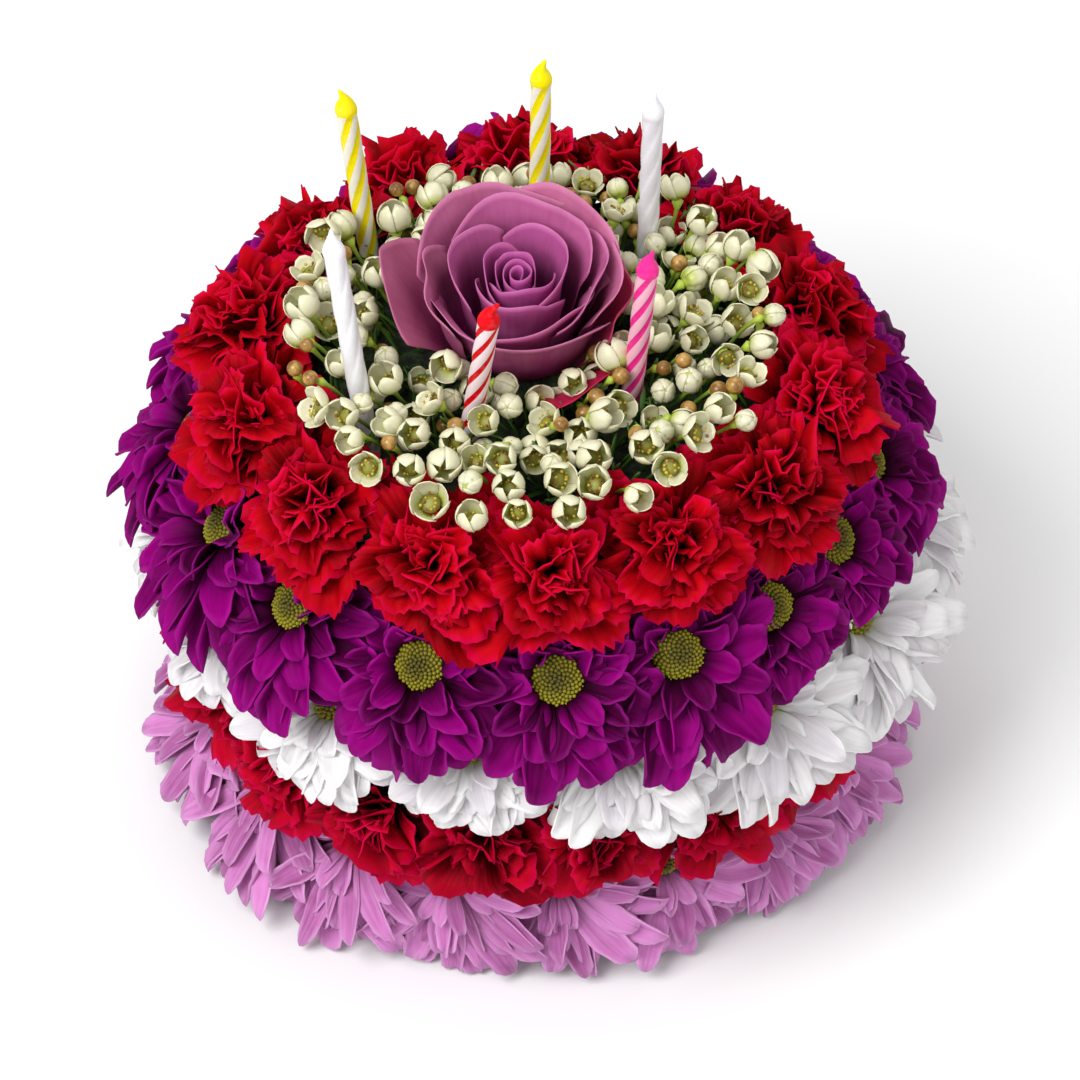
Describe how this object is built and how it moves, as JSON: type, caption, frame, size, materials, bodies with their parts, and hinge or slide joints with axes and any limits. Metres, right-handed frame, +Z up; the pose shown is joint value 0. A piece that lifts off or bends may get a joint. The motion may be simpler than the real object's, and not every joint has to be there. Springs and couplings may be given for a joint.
{
  "type": "floral birthday cake with candles",
  "caption": "Round layered cake made of fresh flowers: rings of daisies and carnations round a foam block, with a rose, waxflowers and twisted birthday candles on top.",
  "frame": {"origin": "centre of the foam block's flat base, on the surface that the cake stands on", "axes": "+Z up through the rings; -Y towards the front; +X to the right seen from the front"},
  "size_m": [0.2009, 0.192, 0.193],
  "materials": {
    "foam": "matte, wet",
    "lavender_petals": "satin petals",
    "crimson_petals": "matte frilled petals",
    "white_petals": "satin petals",
    "purple_petals": "satin petals",
    "scarlet_petals": "matte frilled petals",
    "waxflowers": "waxy petals",
    "rose_petals": "velvety petals",
    "yellow_wax": "satin wax with white stripes",
    "white_wax": "satin wax",
    "pink_wax": "satin wax with pale stripes",
    "red_wax": "satin wax with white stripes"
  },
  "bodies": {
    "root": {"foam_core": "foam", "lavender_daisy_ring": "lavender_petals", "lower_carnation_ring": "crimson_petals", "white_daisy_01": "white_petals", "white_daisy_02": "white_petals", "white_daisy_03": "white_petals", "white_daisy_04": "white_petals", "white_daisy_05": "white_petals", "white_daisy_06": "white_petals", "white_daisy_07": "white_petals", "white_daisy_08": "white_petals", "white_daisy_09": "white_petals", "white_daisy_10": "white_petals", "white_daisy_11": "white_petals", "white_daisy_12": "white_petals", "white_daisy_13": "white_petals", "white_daisy_14": "white_petals", "purple_daisy_01": "purple_petals", "purple_daisy_02": "purple_petals", "purple_daisy_03": "purple_petals", "purple_daisy_04": "purple_petals", "purple_daisy_05": "purple_petals", "purple_daisy_06": "purple_petals", "purple_daisy_07": "purple_petals", "purple_daisy_08": "purple_petals", "purple_daisy_09": "purple_petals", "purple_daisy_10": "purple_petals", "purple_daisy_11": "purple_petals", "purple_daisy_12": "purple_petals", "purple_daisy_13": "purple_petals", "purple_daisy_14": "purple_petals", "purple_daisy_15": "purple_petals", "purple_daisy_16": "purple_petals", "top_carnation_01": "scarlet_petals", "top_carnation_02": "scarlet_petals", "top_carnation_03": "scarlet_petals", "top_carnation_04": "scarlet_petals", "top_carnation_05": "scarlet_petals", "top_carnation_06": "scarlet_petals", "top_carnation_07": "scarlet_petals", "top_carnation_08": "scarlet_petals", "top_carnation_09": "scarlet_petals", "top_carnation_10": "scarlet_petals", "top_carnation_11": "scarlet_petals", "top_carnation_12": "scarlet_petals", "top_carnation_13": "scarlet_petals", "top_carnation_14": "scarlet_petals", "waxflower_heap": "waxflowers", "rose": "rose_petals", "candle_yellow_left": "yellow_wax", "candle_yellow_back": "yellow_wax", "candle_white_right": "white_wax", "candle_white_left": "white_wax", "candle_pink": "pink_wax", "candle_red": "red_wax"}
  },
  "joints": []
}
